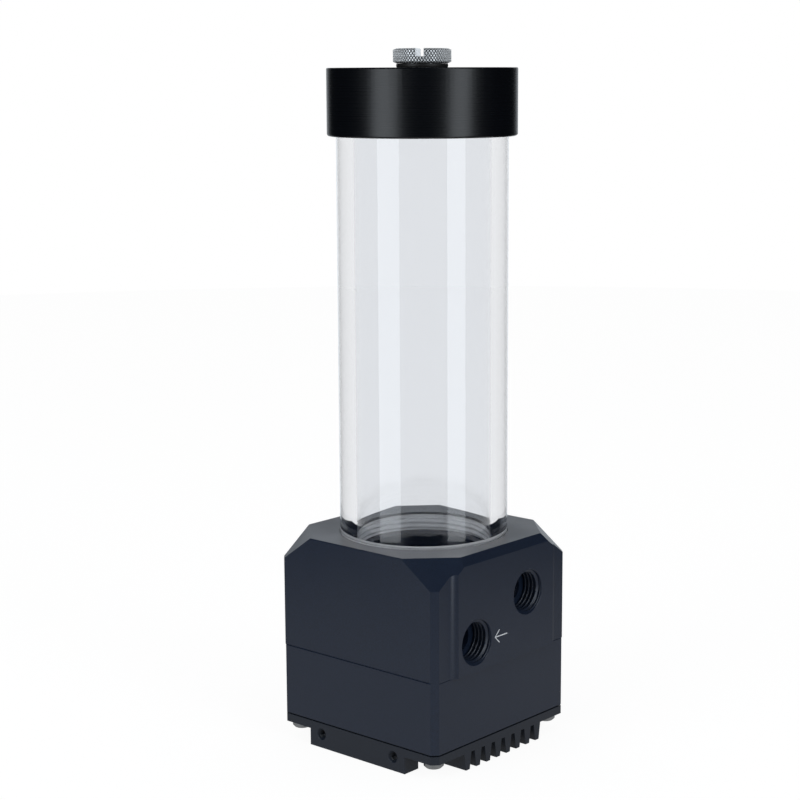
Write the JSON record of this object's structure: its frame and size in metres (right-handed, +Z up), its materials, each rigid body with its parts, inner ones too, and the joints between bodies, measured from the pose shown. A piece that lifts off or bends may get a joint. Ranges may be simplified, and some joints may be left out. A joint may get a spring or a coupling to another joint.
{
  "type": "coolant pump reservoir",
  "caption": "Liquid-cooling pump with a clear tube reservoir: finned base, motor housing, faceted pump top with threaded side ports, turned cap and knurled fill plug.",
  "frame": {"origin": "on the reservoir tube's axis, in the plane of the fin tips and bars that it stands on", "axes": "+Z up along the tube, +X out of the face with the two ports, -Y the face above the front mounting bar"},
  "size_m": [0.0625, 0.061, 0.2052],
  "materials": {
    "block_anodised": "satin dark blue-grey anodised, fine machined grain",
    "base_anodised": "satin dark blue-grey anodised",
    "cap_anodised": "satin black anodised, turned",
    "clear_acrylic": "clear, polished",
    "nickel": "bright nickel plate, knurled",
    "screw_steel": "zinc-plated",
    "black_rubber": "matt",
    "grey_silicone": "matt, soft",
    "board_green": "solder resist",
    "chip_black": "moulded",
    "tinned_brass": "bright",
    "laminated_steel": "stacked sheet",
    "insulator_nylon": "natural nylon",
    "copper_enamel": "enamelled winding",
    "can_plastic": "moulded, filled",
    "ceramic": "ground ceramic",
    "impeller_white": "moulded",
    "magnet_grey": "sintered ferrite",
    "bush_carbon": "carbon-filled"
  },
  "bodies": {
    "pump": {"heatsink_base": "base_anodised", "base_gasket": "black_rubber", "thermal_pad": "grey_silicone", "motor_housing": "block_anodised", "cable_grommet": "black_rubber", "circuit_board": "board_green", "driver_chips": "chip_black", "hall_sensor": "chip_black", "winding_pins": "tinned_brass", "stator_core": "laminated_steel", "lower_insulator": "insulator_nylon", "upper_insulator": "insulator_nylon", "stator_coils": "copper_enamel", "rotor_can": "can_plastic", "housing_oring": "black_rubber", "rotor_shaft": "ceramic", "lower_thrust_washer": "ceramic", "upper_thrust_washer": "ceramic", "shaft_support": "can_plastic", "pump_top": "block_anodised", "corner_screws": "screw_steel"},
    "rotor": {"impeller": "impeller_white", "rotor_magnet": "magnet_grey", "lower_bushing": "bush_carbon", "upper_bushing": "bush_carbon"},
    "tube_seal": {"tube_oring": "black_rubber"},
    "reservoir": {"reservoir_tube": "clear_acrylic"},
    "cap_seal": {"cap_oring": "black_rubber"},
    "cap": {"top_cap": "cap_anodised"},
    "plug_seal": {"fill_plug_oring": "black_rubber"},
    "plug": {"fill_plug": "nickel"}
  },
  "joints": [
    {"name": "impeller_spin", "type": "hinge", "parent": "pump", "child": "rotor", "pos_m": [0, 0, 0.03], "axis": [0, 0, 1], "continuous": true},
    {"name": "tube_turn", "type": "hinge", "parent": "pump", "child": "tube_seal", "pos_m": [0, 0, 0.0536], "axis": [0, 0, 1], "range_deg": [0, 1080]},
    {"name": "tube_lift", "type": "slide", "parent": "tube_seal", "child": "reservoir", "axis": [0, 0, 1], "range_m": [0, 0.0046]},
    {"name": "cap_lift", "type": "slide", "parent": "reservoir", "child": "cap_seal", "axis": [0, 0, 1], "range_m": [0, 0.0081]},
    {"name": "cap_turn", "type": "hinge", "parent": "cap_seal", "child": "cap", "pos_m": [0, 0, 0.19], "axis": [0, 0, 1], "range_deg": [0, 1920]},
    {"name": "plug_lift", "type": "slide", "parent": "cap", "child": "plug_seal", "axis": [0, 0, 1], "range_m": [0, 0.0078]},
    {"name": "plug_turn", "type": "hinge", "parent": "plug_seal", "child": "plug", "pos_m": [0, 0, 0.2], "axis": [0, 0, 1], "range_deg": [0, 2070]}
  ],
  "couplings": [
    {"joint": "tube_lift", "follows": "tube_turn", "m_per_rad": 0.00023873},
    {"joint": "cap_lift", "follows": "cap_turn", "m_per_rad": 0.00023873},
    {"joint": "plug_lift", "follows": "plug_turn", "m_per_rad": 0.00021279}
  ]
}
